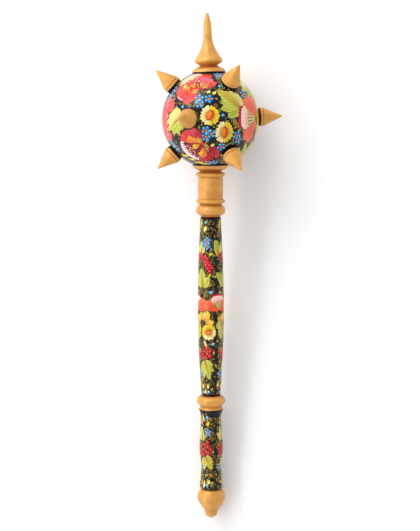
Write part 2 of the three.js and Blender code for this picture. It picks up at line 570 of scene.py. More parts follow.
def daisy(sheet, spot, radius, petals=18, light_side=180, eye_turn=60, eye=0.42, eye_squash=0.72):
    """A ring of petals, cream on its light side and golden on the other, about an orange and red eye."""
    sheet.keep_clear(spot, radius * 0.9)
    dot(sheet, spot, (0, 0), radius * 0.86, (OLIVE, OLIVE), corners=16)
    for index in range(petals):
        angle = (index + random.uniform(-0.2, 0.2)) * 360 / petals
        facing = math.cos(math.radians(angle - light_side))
        light = facing + random.uniform(-0.15, 0.15) > 0
        tip, middle, root = (CREAM, WARM_CREAM, OLIVE_GOLD) if light else (YELLOW, GOLDEN, OCHRE)
        far = radius * random.uniform(0.93, 1.03)
        petal(sheet, spot, polar(angle, radius * 0.2), polar(angle, far), radius * 0.31, (root, middle),
              bend=random.uniform(-0.06, 0.06), fullness=2.4, steps=5)
        for lean in (-4, 4):
            petal(sheet, spot, polar(angle + lean * 0.6, radius * 0.45), polar(angle + lean, far),
                  radius * 0.11, (middle, tip), fullness=2.0, steps=4)
    dot(sheet, spot, (0, 0), radius * eye, (CRIMSON, CRIMSON), corners=14, squash=eye_squash, turn=eye_turn)
    lit = polar(light_side, radius * 0.05)
    dot(sheet, spot, lit, radius * eye * 0.86, (ORANGE, RUST), corners=12, squash=eye_squash * 0.88,
        turn=eye_turn)
    for share in (-0.5, 0, 0.5):
        at = Vector(lit) + Vector(polar(eye_turn, radius * eye * share))
        half = Vector(polar(eye_turn, radius * 0.1))
        petal(sheet, spot, at - half, at + half, radius * 0.07, (HONEY, ORANGE), steps=3)


def leaf_half(sheet, spot, base, way, half_width, inner, outer, teeth):
    """One toothed side of a leaf's lobe, with dark veins and light strokes between them."""
    base = Vector(base)
    side = Vector((-way.y, way.x)).normalized()

    def margin(share, fullness):
        swell = math.sin(math.pi * (0.14 + 0.82 * share)) ** 0.8
        return base + way * share + side * half_width * swell * fullness

    outline = [base]
    for index in range(teeth):
        outline.append(margin((index + 0.1) / teeth * 0.9, 0.78))
        outline.append(margin((index + 0.85) / teeth * 0.9, 1.04))
    outline.append(base + way)
    x0, y0 = spot(*base)
    x1, y1 = spot(*(base + way))
    length = math.hypot(x1 - x0, y1 - y0)
    reach = abs(half_width) * spot.size

    def shade(x, y):
        away = abs((x - x0) * (y1 - y0) - (y - y0) * (x1 - x0)) / length / reach
        return blend(inner, outer, min(1, away))
    sheet.mark([spot(*corner) for corner in outline], shade)

    bend = -0.12 if half_width > 0 else 0.12
    light = blend(outer, CREAM, 0.4)
    for index in range(teeth):
        tooth = margin((index + 0.85) / teeth * 0.9, 0.94)
        root = base + way * max(0, (index - 0.45) / teeth * 0.9)
        petal(sheet, spot, root.lerp(tooth, 0.35), tooth, abs(half_width) * 0.13, (inner, light), bend=bend,
              fullness=2.2, steps=4)
        notch = margin((index + 0.1) / teeth * 0.9, 0.74)
        root = base + way * max(0, (index - 1.1) / teeth * 0.9)
        petal(sheet, spot, root.lerp(notch, 0.12), notch, 0.6, (DARK_GREEN, blend(inner, DARK_GREEN, 0.4)),
              bend=bend, steps=4)


def broad_leaf(sheet, spot, lobes, width, teeth=6):
    """Several lobes from one base, each (angle, length, width share, sides), the last on top.
    The sides are (left, right) as seen from the base, each with its inner and outer colour."""
    for index, (angle, length, share, sides) in enumerate(lobes):
        way = Vector(polar(angle, length))
        for half_width, (inner, outer) in zip((width * share / 2, -width * share / 2), sides):
            leaf_half(sheet, spot, (0, 0), way, half_width, inner, outer, teeth)
        if index == len(lobes) - 1:
            petal(sheet, spot, (0, 0), polar(angle, length * 0.5), 1.3, (CRIMSON, BRIGHT_RED), bend=0.04,
                  fullness=0.8)


LIME_SIDE = (LEAF_GREEN, LIME)
OLIVE_SIDE = (OLIVE_GOLD, MUSTARD)
PALE_SIDE = (PALE_GREEN, PALE_YELLOW)


def berries(sheet, spot, places, radius=2.6):
    """A cluster of red berries, each with a lit side, a spark and a small dark calyx."""
    for u, v in places:
        dot(sheet, spot, (u, v), radius, (CARMINE, DEEP_RED), corners=10)
        dot(sheet, spot, (u - 0.3, v + 0.35), radius * 0.68, (BRIGHT_RED, CARMINE), corners=8)
        dot(sheet, spot, (u - 0.7, v + 0.8), radius * 0.22, (SOFT_PINK, SALMON), corners=5)
        dot(sheet, spot, (u + 0.9, v - 1.0), radius * 0.2, (DEEP_RED, DEEP_RED), corners=5)


def bud(sheet, spot, length=5.5, width=3.4, colours=(CREAM, YELLOW)):
    """A pale bud of two strokes in a green cup."""
    sheet.keep_clear(spot, length * 0.4)
    petal(sheet, spot, (0, -length * 0.6), (-width * 0.5, length * 0.15), width * 0.5, (DARK_GREEN, LIME),
          bend=0.25, steps=4)
    petal(sheet, spot, (0, -length * 0.5), (width * 0.1, length * 0.5), width, (GOLDEN, colours[0]), steps=5)
    petal(sheet, spot, (0, -length * 0.4), (width * 0.5, length * 0.35), width * 0.5,
          (OCHRE, colours[1]), bend=-0.2, steps=4)


def stem(sheet, spot, start, end, bend, width=0.8, colours=(LEAF_GREEN, OLIVE)):
    petal(sheet, spot, start, end, width, colours, bend=bend, fullness=0.9, steps=6)


def curled_leaf(sheet, spot, length=13, colours=(OLIVE, OCHRE)):
    """Nested hooked strokes, like a curled fern."""
    sheet.keep_clear(spot, length * 0.3)
    for index in range(4):
        share = 1 - index * 0.2
        petal(sheet, spot, (index * 0.9, -length / 2), (index * 1.3 - 1, length / 2 * share), 1.3, colours,
              bend=0.42, steps=5)
    petal(sheet, spot, (-3.2, length * 0.34), (2.8, length * 0.4), 1.5, (OCHRE, YELLOW), bend=0.5, steps=5)


def commas(sheet, spot, count, length, colours, fan=60):
    """A small spray of comma strokes from one point."""
    for index in range(count):
        angle = 90 + (index - (count - 1) / 2) * fan / max(1, count - 1)
        petal(sheet, spot, polar(angle, length * 0.25), polar(angle, length), length * 0.3, colours,
              bend=0.15 if index % 2 else -0.15, steps=4)


def sprig(sheet, spot, length, colours, pairs=3):
    """A thin curling stem with short leaves on both sides and a drop at its end."""
    stem(sheet, spot, (0, -length / 2), (length * 0.12, length / 2), 0.22, 0.6, colours)
    for index in range(pairs):
        share = (index + 0.6) / pairs
        root = (-length * 0.2 * math.sin(math.pi * share) * 0.55, length * (share - 0.5))
        for hand in (-1, 1):
            leaf_tip = (root[0] + hand * length * 0.24 * (1.15 - share * 0.5), root[1] + length * 0.16)
            petal(sheet, spot, root, leaf_tip, length * 0.1, colours, bend=-0.2 * hand, steps=4)
    dot(sheet, spot, (length * 0.15, length * 0.56), length * 0.075, (colours[1], colours[1]), corners=6)


def tendril(sheet, spot, size, colours):
    """A curl of short strokes that winds in to a drop."""
    corners = [polar(angle, size * (1.1 - angle / 420)) for angle in (0, 75, 150, 225, 300)]
    for first, second in zip(corners, corners[1:]):
        petal(sheet, spot, first, second, 0.75, colours, bend=-0.22, fullness=1, steps=3)
    petal(sheet, spot, corners[0], polar(-60, size * 1.8), 0.75, colours, bend=0.15, steps=3)
    dot(sheet, spot, corners[-1], size * 0.2, (colours[1], colours[1]), corners=6)


def rounded(corners, steps=3):
    """Points on a smooth closed line through the corners."""
    count = len(corners)
    points = []
    for index in range(count):
        before, here, after, beyond = (Vector(corners[(index + k) % count]) for k in (-1, 0, 1, 2))
        for step in range(steps):
            t = step / steps
            points.append((
                here * 2 + (after - before) * t
                + (before * 2 - here * 5 + after * 4 - beyond) * t ** 2
                + (here * 3 - before - after * 3 + beyond) * t ** 3
            ) / 2)
    return points


def flower_petal(sheet, spot, corners, root, tip, veins=True):
    """A petal through (angle, reach) corners about the flower's base, with a dark edge, veins and streaks."""
    places = [Vector(polar(angle, reach)) for angle, reach in corners]
    middle = sum(places, Vector((0, 0))) / len(places)
    far = max(places, key=lambda place: place.length)
    dark = blend(root, DEEP_RED, 0.6)
    for size, near_hue, far_hue in ((1.05, dark, dark), (1, root, tip)):
        outline = [spot(*(middle + (place - middle) * size)) for place in rounded(places)]
        sheet.mark(outline, between((*spot(0, 0), near_hue), (*spot(*far), far_hue)))
    if not veins:
        return
    outer = [place for place in places if place.length > far.length * 0.6]
    light = blend(tip, PINK_WHITE, 0.14)
    for first, second in zip(outer, outer[1:]):
        for share in (0.2, 0.7):
            end = first.lerp(second, share).lerp(middle, 0.12)
            petal(sheet, spot, end * 0.35, end, far.length * 0.028, (dark, blend(root, tip, 0.5)), steps=4)
        end = first.lerp(second, 0.45).lerp(middle, 0.08)
        petal(sheet, spot, end * 0.7, end, far.length * 0.045, (blend(root, tip, 0.6), light), steps=4)


def fringe(sheet, spot, first, last, reach, depth, lace, tooth=3.4):
    """A crescent of lace between two angles, with teeth that point to the flower's base."""
    sweep = last - first
    band(sheet, spot, first, last, reach - depth, reach, (PINK, lace), scallops=round(sweep / 7), depth=0.9)
    teeth = round(sweep / 6.5)
    for index in range(teeth):
        share = (index + 0.5) / teeth
        angle = first + sweep * share
        inner = reach - depth * min(1, 5 * share, 5 * (1 - share)) ** 0.5
        petal(sheet, spot, polar(angle, inner + 1.2), polar(angle, inner - tooth * (1 - 0.3 * (index % 2))),
              reach * 0.08, (lace, lace), fullness=0.6, steps=4)


def speckle(sheet, spot, places, size=0.95):
    for angle, reach in places:
        dot(sheet, spot, polar(angle, reach), size, (CREAM, WARM_CREAM), corners=6)


def golden_blobs(sheet, spot, places, size):
    """Golden pollen heads, each lit on one side."""
    for angle, reach in places:
        at = polar(angle, reach)
        dot(sheet, spot, at, size, (ORANGE, ORANGE_RED), corners=9, squash=0.8, turn=angle)
        dot(sheet, spot, at, size * 0.8, (YELLOW, GOLDEN), corners=8, squash=0.75, turn=angle)


def stamens(sheet, spot, places, width=1.1, colours=(LEAF_GREEN, LIME), heads=0.0):
    """Fine strokes from the flower's base to (angle, reach) places, with round heads if asked."""
    for index, (angle, reach) in enumerate(places):
        end = polar(angle, reach)
        petal(sheet, spot, polar(angle, reach * 0.12), end, width, colours,
              bend=0.1 if index % 2 else -0.06, steps=4)
        if heads:
            dot(sheet, spot, end, heads, (YELLOW, ORANGE), corners=6)


def arc_stroke(sheet, spot, first, last, reach, width=3.0, colours=(ORANGE_RED, ORANGE)):
    """A curved stroke across a petal."""
    petal(sheet, spot, polar(first, reach * 0.92), polar(last, reach), width, colours,
          bend=-0.28 if last > first else 0.28, steps=6)


def salmon_poppy(sheet, spot):
    """A salmon poppy seen from above its base: one broad petal, a pale fringe and two pink petals."""
    flower_petal(sheet, spot, [(98, 24), (108, 33), (128, 37), (148, 35), (162, 27)], ROSE, SOFT_PINK)
    flower_petal(sheet, spot, [(180, 24), (186, 31), (198, 30.5), (210, 27.5), (218, 22)],
                 ROSE, PINK, veins=False)
    flower_petal(sheet, spot, [(104, 22), (102, 26), (88, 27), (70, 27), (64, 22), (72, 18)],
                 CRIMSON, BRIGHT_RED)
    flower_petal(sheet, spot, [(94, 4), (101, 17), (91, 21), (66, 20), (53, 21.5), (38, 17), (36, 9)],
                 ROSE, DUSKY_PINK)
    flower_petal(sheet, spot, [(50, 2), (40, 11), (41, 19), (33, 22), (21, 18.5), (5, 11), (347, 4)],
                 CRIMSON, SALMON)
    band(sheet, spot, 94, 164, 4, 28.5, (MAROON, ROSE), scallops=9, depth=1.2)
    fringe(sheet, spot, 100, 160, 29.5, 3.4, SOFT_PINK, tooth=2.8)
    speckle(sheet, spot, [(136, 16), (147, 18), (158, 19), (128, 22), (122, 15), (112, 19), (116, 23),
                          (142, 22)])
    flower_petal(sheet, spot, [(256, 3), (222, 11), (215, 20), (219, 25.5), (232, 25.5), (246, 20),
                               (259, 10)], CRIMSON, BRIGHT_RED)
    flower_petal(sheet, spot, [(125, 6), (140, 19), (156, 27.2), (167, 32.5), (183, 32.4), (201, 26.5),
                               (221, 22), (234, 14), (248, 5)], CRIMSON, SALMON)
    arc_stroke(sheet, spot, 198, 160, 22.5, 3.4)
    arc_stroke(sheet, spot, 196, 164, 18.2, 2.8)
    arc_stroke(sheet, spot, 212, 178, 14, 2.2)
    golden_blobs(sheet, spot, [(172, 15.4), (156, 13), (138, 11), (160, 9), (106, 13)], 2.1)
    stamens(sheet, spot, [(222, 12), (212, 14), (236, 10), (196, 11), (30, 13), (42, 14), (18, 10), (122, 9),
                          (92, 11), (74, 9)])
    dot(sheet, spot, (0, 0), 2.2, (BRIGHT_RED, CRIMSON))


def crimson_poppy(sheet, spot):
    """A crimson poppy with a wide dark heart, two golden pollen heaps and a white fringe."""
    flower_petal(sheet, spot, [(337, 10), (342, 14), (332, 20), (317, 27), (304, 29.5), (297, 28.5),
                               (308, 21.5), (324, 12.5)], DEEP_RED, CARMINE)
    flower_petal(sheet, spot, [(253, 22), (254, 27), (263, 32), (278, 30), (295, 25.5), (307, 20), (326, 12),
                               (337, 4), (300, 2)], DEEP_RED, CARMINE)
    flower_petal(sheet, spot, [(249, 19.5), (258, 22.5), (268, 22), (281, 18), (287, 10), (265, 6)],
                 ORANGE_RED, BURNT_ORANGE, veins=False)
    band(sheet, spot, 172, 262, 2, 27, (DEEP_RED, MAROON))
    fringe(sheet, spot, 180, 254, 30.5, 2.8, PINK_WHITE, tooth=5.6)
    speckle(sheet, spot, [(210, 20.3), (210, 16.4), (224, 17.4), (203, 18.2), (233, 19), (217, 21.3),
                          (196, 20.5)])
    flower_petal(sheet, spot, [(94, 2), (89, 9.3), (97, 15), (110, 20.8), (121, 23), (129, 22), (140, 25.5),
                               (156, 28.4), (170, 29.3), (180, 27.6), (179, 17), (173, 6)], CRIMSON, COOL_RED)
    flower_petal(sheet, spot, [(180, 19.7), (167, 20.5), (154, 18), (139, 11.5), (129, 4), (172, 6)],
                 ORANGE_RED, BURNT_ORANGE, veins=False)
    for reach in (18.5, 15.5, 12.5, 9.5):
        arc_stroke(sheet, spot, 176, 146, reach, 1.5, (CRIMSON, YELLOW))
    for reach in (20, 16.5, 13):
        arc_stroke(sheet, spot, 284, 256, reach, 1.5, (CRIMSON, ORANGE))
    for corners in ([(193, 13), (186, 9.5), (200, 4), (223, 8), (218, 13.5), (206, 14)],
                    [(245, 17.3), (251, 12.5), (262, 8), (268, 13), (256, 18.5)]):
        flower_petal(sheet, spot, corners, ORANGE, BRIGHT_YELLOW, veins=False)
    stamens(sheet, spot, [(192, 11), (204, 12), (216, 10), (250, 14), (262, 13)], 0.9, (CRIMSON, OLIVE))
    stamens(sheet, spot, [(132, 10), (118, 11), (146, 9), (162, 8), (104, 8), (322, 10), (308, 12), (296, 14),
                          (336, 8)])
    dot(sheet, spot, (0, 0), 2.4, (BRIGHT_RED, CARMINE))


def side_poppy(sheet, spot):
    """A poppy seen from the side: a scalloped crimson cup, a pale fringe and two orange petals."""
    band(sheet, spot, 133, 219, 10, 35.6, (MAROON, CARMINE), scallops=11, depth=1.5)
    band(sheet, spot, 136, 216, 20, 31.5, (PINK, PINK_WHITE), scallops=13, depth=1.1)
    speckle(sheet, spot, [(angle, 29.8) for angle in range(141, 214, 6)], 1.15)
    speckle(sheet, spot, [(angle, 26.6) for angle in range(144, 211, 7)], 0.8)
    fan = [(angle, 20 + 4 * (angle // 7 % 2)) for angle in range(143, 213, 7)]
    stamens(sheet, spot, fan, 3.4, (DARK_OLIVE, DARK_OLIVE))
    stamens(sheet, spot, fan, 1.9, (LIME, PALE_YELLOW), heads=0.85)
    flower_petal(sheet, spot, [(137, 32.8), (122, 33), (114, 31.4), (110, 27.5), (98, 29), (88, 26), (84, 18),
                               (89, 8), (120, 2), (146, 8), (152, 15.5), (148, 24)], ORANGE_RED, CORAL)
    flower_petal(sheet, spot, [(237, 2), (208, 10), (211, 20), (213, 28), (221, 33), (232, 34.4), (241, 31),
                               (249, 32.5), (257, 29.5), (260, 22), (263, 10)], ORANGE_RED, CORAL)
    dot(sheet, spot, (0, 0), 1.6, (BRIGHT_RED, CRIMSON), corners=7)


def golden_petals(sheet, spot):
    """A golden flower's petals that show behind another."""
    flower_petal(sheet, spot, [(76, 20), (56, 29), (20, 26), (340, 26), (308, 31), (286, 22), (330, 4),
                               (40, 4)], GOLDEN, HONEY)


def far_poppy(sheet, spot):
    """The three broad petals of a poppy that opens away from the viewer."""
    flower_petal(sheet, spot, [(327, 26), (337, 44), (329, 47.5), (318, 44), (311, 31)], CRIMSON, SALMON)
    flower_petal(sheet, spot, [(45, 30), (40, 44), (30, 51), (18, 53), (12, 47), (19, 34)], CRIMSON, SALMON)
    flower_petal(sheet, spot, [(28, 20), (22, 36), (10, 41), (354, 38), (343, 41), (333, 34), (322, 16)],
                 CRIMSON, SALMON)
    for angle in (36, 26, 6, 352, 338, 326):
        arc_stroke(sheet, spot, angle - 5, angle + 5, 39, 2.6, (SALMON, SOFT_PINK))


def paint_ball_front(sheet):
    """The side that shows. A spot is a longitude to the mace's right of its front, and a latitude up
    towards the spire."""
    spot = partial(spot_on, sheet)

    # leaves
    broad_leaf(sheet, spot(36.7, 14), [
        (60, 13, 0.9, (PALE_SIDE, PALE_SIDE)),
        (88, 18.5, 1.1, (PALE_SIDE, PALE_SIDE)),
        (182, 25, 1.1, (LIME_SIDE, LIME_SIDE)),
        (240, 13, 0.9, (LIME_SIDE, LIME_SIDE)),
        (216, 20.5, 1.2, (LIME_SIDE, LIME_SIDE)),
        (113, 24, 1.2, (OLIVE_SIDE, PALE_SIDE)),
        (158, 25, 1.3, (LIME_SIDE, LIME_SIDE)),
        (135, 33.5, 1.45, (LIME_SIDE, OLIVE_SIDE)),
    ], 12)
    broad_leaf(sheet, spot(-40.6, 0.9), [
        (84, 12, 0.8, (PALE_SIDE, PALE_SIDE)),
        (108, 15, 1.0, (PALE_SIDE, PALE_SIDE)),
        (136, 15.5, 1.0, (PALE_SIDE, PALE_SIDE)),
        (292, 15, 1.0, (LIME_SIDE, LIME_SIDE)),
        (166, 18, 1.0, (PALE_SIDE, PALE_SIDE)),
        (262, 20.5, 1.1, (LIME_SIDE, LIME_SIDE)),
        (192, 23, 1.1, (PALE_SIDE, PALE_SIDE)),
        (240, 23.5, 1.1, (LIME_SIDE, LIME_SIDE)),
        (216, 26, 1.1, (LIME_SIDE, PALE_SIDE)),
    ], 10, teeth=4)
    broad_leaf(sheet, spot(86, 44), [
        (168, 26, 0.8, (PALE_SIDE, PALE_SIDE)),
        (264, 22, 0.8, (PALE_SIDE, LIME_SIDE)),
        (240, 27, 0.8, (LIME_SIDE, PALE_SIDE)),
        (190, 30, 0.9, (LIME_SIDE, PALE_SIDE)),
        (214, 32, 0.9, (LIME_SIDE, LIME_SIDE)),
    ], 12)
    broad_leaf(sheet, spot(84, -56), [
        (168, 24, 0.8, (LIME_SIDE, PALE_SIDE)),
        (88, 30, 0.9, (PALE_SIDE, LIME_SIDE)),
        (112, 36, 0.9, (LIME_SIDE, PALE_SIDE)),
        (140, 36, 0.9, (LIME_SIDE, PALE_SIDE)),
    ], 12)
    curled_leaf(sheet, spot(29, -4, turn=-160))
    curled_leaf(sheet, spot(36, -8, turn=-170), length=10)

    # poppies
    far_poppy(sheet, spot(-98, 0))
    salmon_poppy(sheet, spot(-15.6, 38.3))
    golden_petals(sheet, spot(69, 0.5))
    side_poppy(sheet, spot(69, 0.5))
    crimson_poppy(sheet, spot(-10.6, -29.2))

    # daisies
    daisy(sheet, spot(-0.5, 4.6), 12.4, eye_turn=62, eye=0.54, eye_squash=0.66)
    daisy(sheet, spot(17, -15.3, stretch=0.82), 14.5, light_side=190, eye_turn=92, eye=0.52, eye_squash=0.62)

    # forget-me-nots and blue berries
    for longitude, latitude, turn in (
        (-13.7, 24.2, 95), (-13, 18, 20), (-1.8, 24, 70), (-5.2, -13, 60), (0.8, -17, 100), (-5, -21, 80),
        (15.5, -34, 50), (34.5, -19, 65), (38.5, -24.5, 80), (50, 30, 75), (-64, 36, 40), (-66, 28, 80),
        (-62, -31, 20), (-58, -37, 70), (-4, -63.5, 60), (8, -62, 20), (20, 62.5, 80),
    ):
        forget_me_not(sheet, spot(longitude, latitude), turn)
    for longitude, latitude in ((14.9, 4.6), (-35, 14.3), (14.5, 41)):
        blue_berry(sheet, spot(longitude, latitude))

    # buds on their stems
    stem(sheet, spot(-9, 33), (0, 0), (9, -2), 0.3)
    stem(sheet, spot(4, 27), (0, 0), (8, 11), 0.35, 0.9)
    bud(sheet, spot(-2.5, 33, turn=-30))
    bud(sheet, spot(5, 31.5, turn=-50))
    bud(sheet, spot(3, -31, turn=150))
    bud(sheet, spot(45, -37, turn=-60, size=1.1))
    for longitude, latitude, turn in ((-42, 41, 60), (-48, 50, 40), (-38, 54, 20)):
        bud(sheet, spot(longitude, latitude, turn=turn, size=1.2))
    for longitude, latitude in ((-42, -53), (-30, -60), (-52, -46), (-20, -64)):
        petal(sheet, spot(longitude, latitude), (-6, 1), (6, -2), 4.5, (GOLDEN, YELLOW), bend=-0.2)
    for longitude, latitude, turn in (
        (-52, 57, 30), (-66, 50, 38), (-34, 62, 18), (-78, 42, 45), (-58, 46, 40),
    ):
        petal(sheet, spot(longitude, latitude, turn=turn), (-7, -1), (7, 0), 3.6, (OCHRE, PALE_YELLOW),
              bend=-0.15)


def paint_ball_back(sheet):
    """The side that lies down: the same flowers in another arrangement."""
    spot = partial(spot_on, sheet)

    broad_leaf(sheet, spot(185, 26, turn=150), [
        (60, 18, 0.8, (PALE_SIDE, LIME_SIDE)),
        (120, 20, 0.8, (LIME_SIDE, OLIVE_SIDE)),
        (90, 30, 1.1, (LIME_SIDE, OLIVE_SIDE)),
    ], 19)
    broad_leaf(sheet, spot(242, 14, turn=-30), [
        (50, 18, 0.8, (OLIVE_SIDE, PALE_SIDE)),
        (130, 18, 0.8, (LIME_SIDE, PALE_SIDE)),
        (90, 27, 1.0, (LIME_SIDE, LIME_SIDE)),
    ], 17)
    broad_leaf(sheet, spot(122, -42, turn=10), [
        (50, 16, 0.8, (PALE_SIDE, LIME_SIDE)),
        (130, 17, 0.8, (LIME_SIDE, PALE_SIDE)),
        (90, 25, 1.0, (LIME_SIDE, OLIVE_SIDE)),
    ], 16)
    broad_leaf(sheet, spot(232, -12, turn=200), [
        (50, 16, 0.8, (PALE_SIDE, LIME_SIDE)),
        (130, 17, 0.8, (LIME_SIDE, PALE_SIDE)),
        (90, 24, 1.0, (OLIVE_SIDE, LIME_SIDE)),
    ], 16)
    curled_leaf(sheet, spot(138, 6, turn=20))
    curled_leaf(sheet, spot(204, -38, turn=-40))

    salmon_poppy(sheet, spot(124, 38, turn=-60, size=0.92))
    crimson_poppy(sheet, spot(176, -22, turn=-40))
    side_poppy(sheet, spot(212, 40, turn=80, size=0.8))
    salmon_poppy(sheet, spot(238, -44, turn=150, size=0.82))
    berry_places = [(0, 0), (4.5, 2), (-4, 3), (1, 6), (5, 8), (-3, 10), (-5, -4), (1, -5), (4, -8)]
    berries(sheet, spot(112, -10), berry_places, 3)
    berries(sheet, spot(256, 30), berry_places, 3)
    daisy(sheet, spot(148, 17), 12, eye_turn=40)
    daisy(sheet, spot(196, 8, stretch=0.9), 13, light_side=150, eye_turn=95)
    daisy(sheet, spot(140, -18), 11.5, light_side=220, eye_turn=20)
    daisy(sheet, spot(262, -8), 11, light_side=160, eye_turn=70)
    for longitude, latitude, turn in (
        (104, 18, 30), (100, 24, 80), (170, 36, 20), (176, 42, 60), (228, 4, 10), (222, -2, 50),
        (150, -62, 40), (188, -52, 10), (196, -56, 70), (208, -18, 20), (214, -24, 60), (104, -30, 0),
        (262, 12, 50), (268, 6, 10), (140, 58, 30), (232, 62, 70), (180, 60, 15), (98, -60, 15),
        (280, 60, 35), (282, -62, 55), (156, -2, 35), (118, 2, 15),
    ):
        forget_me_not(sheet, spot(longitude, latitude), turn)
    for longitude, latitude in ((166, 4), (182, -2), (236, 30), (130, -30), (222, -40)):
        blue_berry(sheet, spot(longitude, latitude))
    for longitude, latitude, turn in (
        (160, 28, 30), (202, 24, -40), (152, -36, 160), (246, 48, 70), (118, 20, 200),
    ):
        bud(sheet, spot(longitude, latitude, turn=turn, size=1.1))


def sprinkle(sheet, places, spot_at):
    """Fills the black ground between the motifs with small gold and green sprays."""
    paints = ((OCHRE, HONEY), (OLIVE, LIME), (OCHRE, OCHRE), (OLIVE, OLIVE_GOLD), (BROWN_GOLD, OCHRE))
    for index, (across, up) in enumerate(places):
        spot = spot_at(across, up, random.uniform(0, 360), random.uniform(0.85, 1.15))
        if not sheet.is_clear(spot(0, 0), 0.6):
            continue
        if index % 3 == 0:
            sprig(sheet, spot, random.uniform(7, 10), paints[index % 5])
        elif index % 3 == 1:
            tendril(sheet, spot, random.uniform(2.6, 4), paints[index % 5])
        else:
            commas(sheet, spot, random.choice((3, 4)), random.uniform(3, 5.5), paints[index % 5])


def even_places_on_ball(count):
    """Places spread evenly over the painted part, on a spiral."""
    low = math.sin(math.radians(SOUTH_EDGE + BALL_EDGE_ROOM))
    high = math.sin(math.radians(NORTH_EDGE - BALL_EDGE_ROOM))
    golden_angle = 137.508
    for index in range(count):
        latitude = math.degrees(math.asin(low + (high - low) * (index + 0.5) / count))
        yield (index * golden_angle) % 360 - 180, latitude


def painted_ball(lacquer):
    sheet = BallSheet()
    filling = BallSheet()
    paint_ball_front(sheet)
    paint_ball_back(sheet)
    filling.taken = sheet.taken
    sprinkle(filling, even_places_on_ball(BALL_SPRAYS), partial(spot_on, filling))
    sheet.marks = filling.marks + sheet.marks
    return painted_piece("painted_ball", sheet, lacquer, "head_ball")


# ---------------------------------------------------------------- the handle's painting

def garland_spots(sheet, azimuth):
    """Spots on a garland: millimetres to the right of its middle, and the place along the axis."""
    def spot(across, place, turn=0, size=1, stretch=1):
        return spot_on(sheet, azimuth + math.degrees(across / sheet.paper_radius), place, turn, size, stretch)
    return spot


